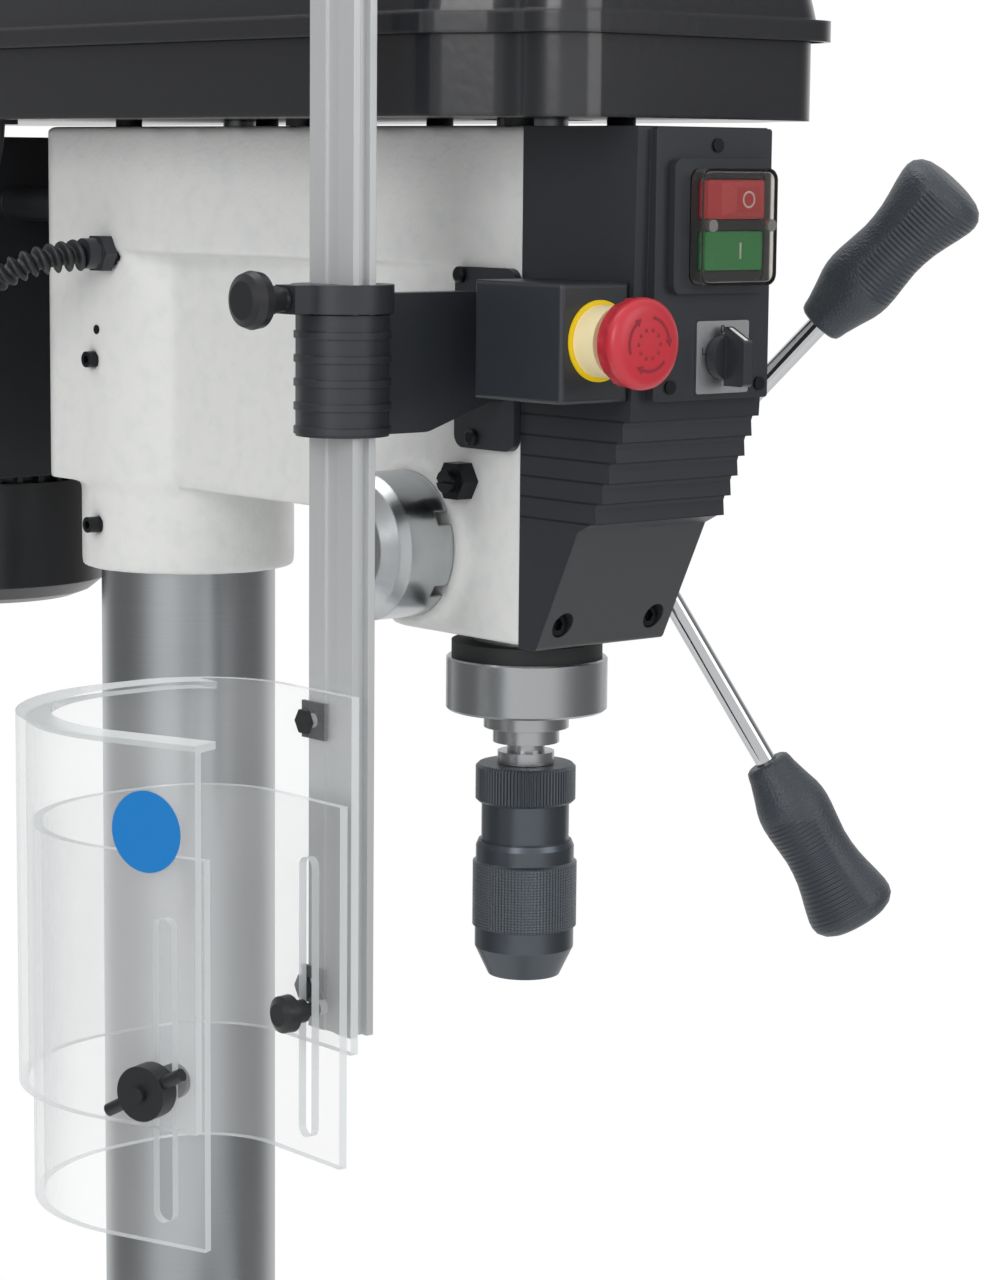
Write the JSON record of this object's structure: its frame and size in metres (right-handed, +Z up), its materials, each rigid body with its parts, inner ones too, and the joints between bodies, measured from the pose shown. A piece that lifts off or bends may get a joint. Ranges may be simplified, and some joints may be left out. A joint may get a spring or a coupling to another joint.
{
  "type": "pillar drill press",
  "caption": "Floor-standing pillar drill press with belt head, sprung quill, keyless chuck, swing-out clear guard, switchgear and a rack-raised tilting table.",
  "frame": {"origin": "column axis on the floor plane, at the underside of the base", "axes": "+Z up along the column, +X to the machine's right, the front with the switches faces -Y"},
  "size_m": [0.4734, 0.7377, 1.612],
  "materials": {
    "cast": "off-white textured paint on iron",
    "dark_iron": "dark grey paint on iron",
    "steel": "ground",
    "black_steel": "black oxide",
    "sheet": "gloss black",
    "black_plastic": "fine texture",
    "zinc": "zinc plated",
    "chrome": "polished",
    "alu": "natural anodised",
    "rubber": "matt",
    "clear": "clear polycarbonate",
    "red": "satin",
    "green": "satin",
    "legend": "printed",
    "cable": "sheath"
  },
  "bodies": {
    "frame": {"base_plate": "dark_iron", "column_flange": "dark_iron", "flange_bolts": "black_steel", "column_tube": "steel", "head_casting": "cast", "head_screws": "black_steel", "front_cover": "black_plastic", "cover_screws": "black_steel", "switch_bezel": "black_plastic", "switch_boot": "clear", "switch_legends": "legend", "estop_box": "black_plastic", "spring_cap": "zinc", "return_spring": "steel", "belt_pan": "sheet", "pan_feet": "rubber", "pulley_supports": "steel", "drive_belts": "rubber", "guard_bracket": "black_plastic", "cable_gland": "black_plastic", "motor_lead": "cable", "switch_lead": "cable"},
    "rack_carriage": {"elevating_rack": "steel"},
    "arm": {"table_arm": "cast"},
    "arm_lever": {"arm_lock_lever": "black_steel"},
    "crank": {"lift_crank": "black_steel"},
    "table": {"table": "cast", "tilt_bolt": "black_steel"},
    "quill": {"quill": "steel", "quill_bumper": "rubber"},
    "spindle": {"spindle": "steel", "chuck_body": "black_steel"},
    "chuck_sleeve": {"chuck_sleeve": "black_steel"},
    "jaw_1": {"chuck_jaw_1": "steel"},
    "jaw_2": {"chuck_jaw_2": "steel"},
    "jaw_3": {"chuck_jaw_3": "steel"},
    "feed": {"feed_shaft": "steel", "feed_hub": "black_steel", "feed_spokes": "chrome", "feed_grips": "black_plastic"},
    "depth_ring": {"depth_ring": "alu"},
    "stop_button": {"stop_button": "red"},
    "start_button": {"start_button": "green"},
    "estop": {"estop_button": "red"},
    "selector": {"selector_knob": "black_plastic"},
    "lid": {"belt_lid": "sheet"},
    "spindle_pulley": {"spindle_pulley": "alu"},
    "idler_pulley": {"idler_pulley": "alu"},
    "motor_pulley": {"motor_pulley": "alu"},
    "motor": {"motor_plate": "black_steel", "motor_body": "alu", "motor_fan_cover": "sheet"},
    "guard_clamp": {"guard_clamp": "black_plastic"},
    "clamp_knob": {"clamp_knob": "black_plastic"},
    "guard": {"guard_rail": "alu", "guard_bolts": "black_steel", "guard_upper": "clear"},
    "guard_lower": {"guard_lower": "clear"},
    "wing_nut": {"wing_nut": "black_plastic"},
    "slide_knob": {"slide_knob": "black_plastic"}
  },
  "joints": [
    {"name": "rack_swing", "type": "hinge", "parent": "frame", "child": "rack_carriage", "pos_m": [0, 0, 0.5], "axis": [0, 0, 1], "range_deg": [-90, 90]},
    {"name": "arm_lift", "type": "slide", "parent": "rack_carriage", "child": "arm", "axis": [0, 0, 1], "range_m": [-0.48, 0.07]},
    {"name": "crank_turn", "type": "hinge", "parent": "arm", "child": "crank", "pos_m": [0, 0.06685, 0.72], "axis": [1, 0, 0], "range_deg": [-2300, 340]},
    {"name": "arm_lever_turn", "type": "hinge", "parent": "arm", "child": "arm_lever", "pos_m": [-0.075, 0, 0.72], "axis": [0, 1, 0], "range_deg": [-25, 40]},
    {"name": "table_tilt", "type": "hinge", "parent": "arm", "child": "table", "pos_m": [0, -0.185, 0.72], "axis": [0, 1, 0], "range_deg": [-45, 45]},
    {"name": "quill_feed", "type": "slide", "parent": "frame", "child": "quill", "axis": [0, 0, -1], "range_m": [0, 0.085], "stiffness_N_per_m": 300, "springref_m": -0.25},
    {"name": "feed_turn", "type": "hinge", "parent": "frame", "child": "feed", "pos_m": [0, -0.23075, 1.31], "axis": [1, 0, 0], "range_deg": [0, 406]},
    {"name": "spindle_spin", "type": "hinge", "parent": "quill", "child": "spindle", "pos_m": [0, -0.26625, 1.28], "axis": [0, 0, 1], "continuous": true},
    {"name": "sleeve_turn", "type": "hinge", "parent": "spindle", "child": "chuck_sleeve", "pos_m": [0, -0.26625, 1.14], "axis": [0, 0, 1], "range_deg": [0, 3456]},
    {"name": "jaw_1_slide", "type": "slide", "parent": "spindle", "child": "jaw_1", "axis": [0, 0.2588, 0.9659], "range_m": [0, 0.0241]},
    {"name": "jaw_2_slide", "type": "slide", "parent": "spindle", "child": "jaw_2", "axis": [-0.2241, -0.1294, 0.9659], "range_m": [0, 0.0241]},
    {"name": "jaw_3_slide", "type": "slide", "parent": "spindle", "child": "jaw_3", "axis": [0.2241, -0.1294, 0.9659], "range_m": [0, 0.0241]},
    {"name": "depth_ring_turn", "type": "hinge", "parent": "frame", "child": "depth_ring", "pos_m": [0.05, -0.23075, 1.31], "axis": [1, 0, 0], "range_deg": [-170, 170]},
    {"name": "stop_push", "type": "slide", "parent": "frame", "child": "stop_button", "axis": [0, 1, 0], "range_m": [0, 0.003], "stiffness_N_per_m": 400, "springref_m": -0.002},
    {"name": "start_push", "type": "slide", "parent": "frame", "child": "start_button", "axis": [0, 1, 0], "range_m": [0, 0.003], "stiffness_N_per_m": 400, "springref_m": -0.002},
    {"name": "estop_push", "type": "slide", "parent": "frame", "child": "estop", "axis": [0, 1, 0], "range_m": [0, 0.003], "stiffness_N_per_m": 1500, "springref_m": -0.002},
    {"name": "selector_turn", "type": "hinge", "parent": "frame", "child": "selector", "pos_m": [0.008, -0.3805, 1.4], "axis": [0, 1, 0], "range_deg": [-60, 60]},
    {"name": "lid_open", "type": "hinge", "parent": "frame", "child": "lid", "pos_m": [0, 0.317, 1.542], "axis": [-1, 0, 0], "range_deg": [0, 75]},
    {"name": "spindle_pulley_turn", "type": "hinge", "parent": "frame", "child": "spindle_pulley", "pos_m": [0, -0.26625, 1.48], "axis": [0, 0, 1], "continuous": true},
    {"name": "idler_turn", "type": "hinge", "parent": "frame", "child": "idler_pulley", "pos_m": [0, -0.045, 1.53], "axis": [0, 0, 1], "continuous": true},
    {"name": "motor_slide", "type": "slide", "parent": "frame", "child": "motor", "axis": [0, -1, 0], "range_m": [0, 0.018]},
    {"name": "motor_turn", "type": "hinge", "parent": "motor", "child": "motor_pulley", "pos_m": [0, 0.21, 1.53], "axis": [0, 0, 1], "continuous": true},
    {"name": "guard_swing", "type": "hinge", "parent": "frame", "child": "guard_clamp", "pos_m": [-0.125, -0.29, 1.424], "axis": [0, 0, 1], "range_deg": [0, 135]},
    {"name": "clamp_knob_turn", "type": "hinge", "parent": "guard_clamp", "child": "clamp_knob", "pos_m": [-0.16, -0.29, 1.424], "axis": [1, 0, 0], "range_deg": [-180, 180]},
    {"name": "guard_height", "type": "slide", "parent": "guard_clamp", "child": "guard", "axis": [0, 0, 1], "range_m": [-0.06, 0.008]},
    {"name": "lower_guard_height", "type": "slide", "parent": "guard", "child": "guard_lower", "axis": [0, 0, 1], "range_m": [-0.058, 0.04]},
    {"name": "wing_nut_turn", "type": "hinge", "parent": "guard", "child": "wing_nut", "pos_m": [-0.26228, -0.34979, 1.12], "axis": [-0.9397, -0.342, 0], "range_deg": [-180, 180]},
    {"name": "slide_knob_turn", "type": "hinge", "parent": "guard", "child": "slide_knob", "pos_m": [-0.1346, -0.288, 1.12], "axis": [1, 0, 0], "range_deg": [-180, 180]}
  ],
  "couplings": [
    {"joint": "crank_turn", "follows": "arm_lift", "rad_per_m": 83.333},
    {"joint": "feed_turn", "follows": "quill_feed", "rad_per_m": 83.333},
    {"joint": "jaw_1_slide", "follows": "sleeve_turn", "m_per_rad": 0.00039789},
    {"joint": "jaw_2_slide", "follows": "sleeve_turn", "m_per_rad": 0.00039789},
    {"joint": "jaw_3_slide", "follows": "sleeve_turn", "m_per_rad": 0.00039789},
    {"joint": "spindle_pulley_turn", "follows": "spindle_spin", "ratio": 1},
    {"joint": "idler_turn", "follows": "spindle_spin", "ratio": 1.2381},
    {"joint": "motor_turn", "follows": "spindle_spin", "ratio": 2.5587}
  ]
}
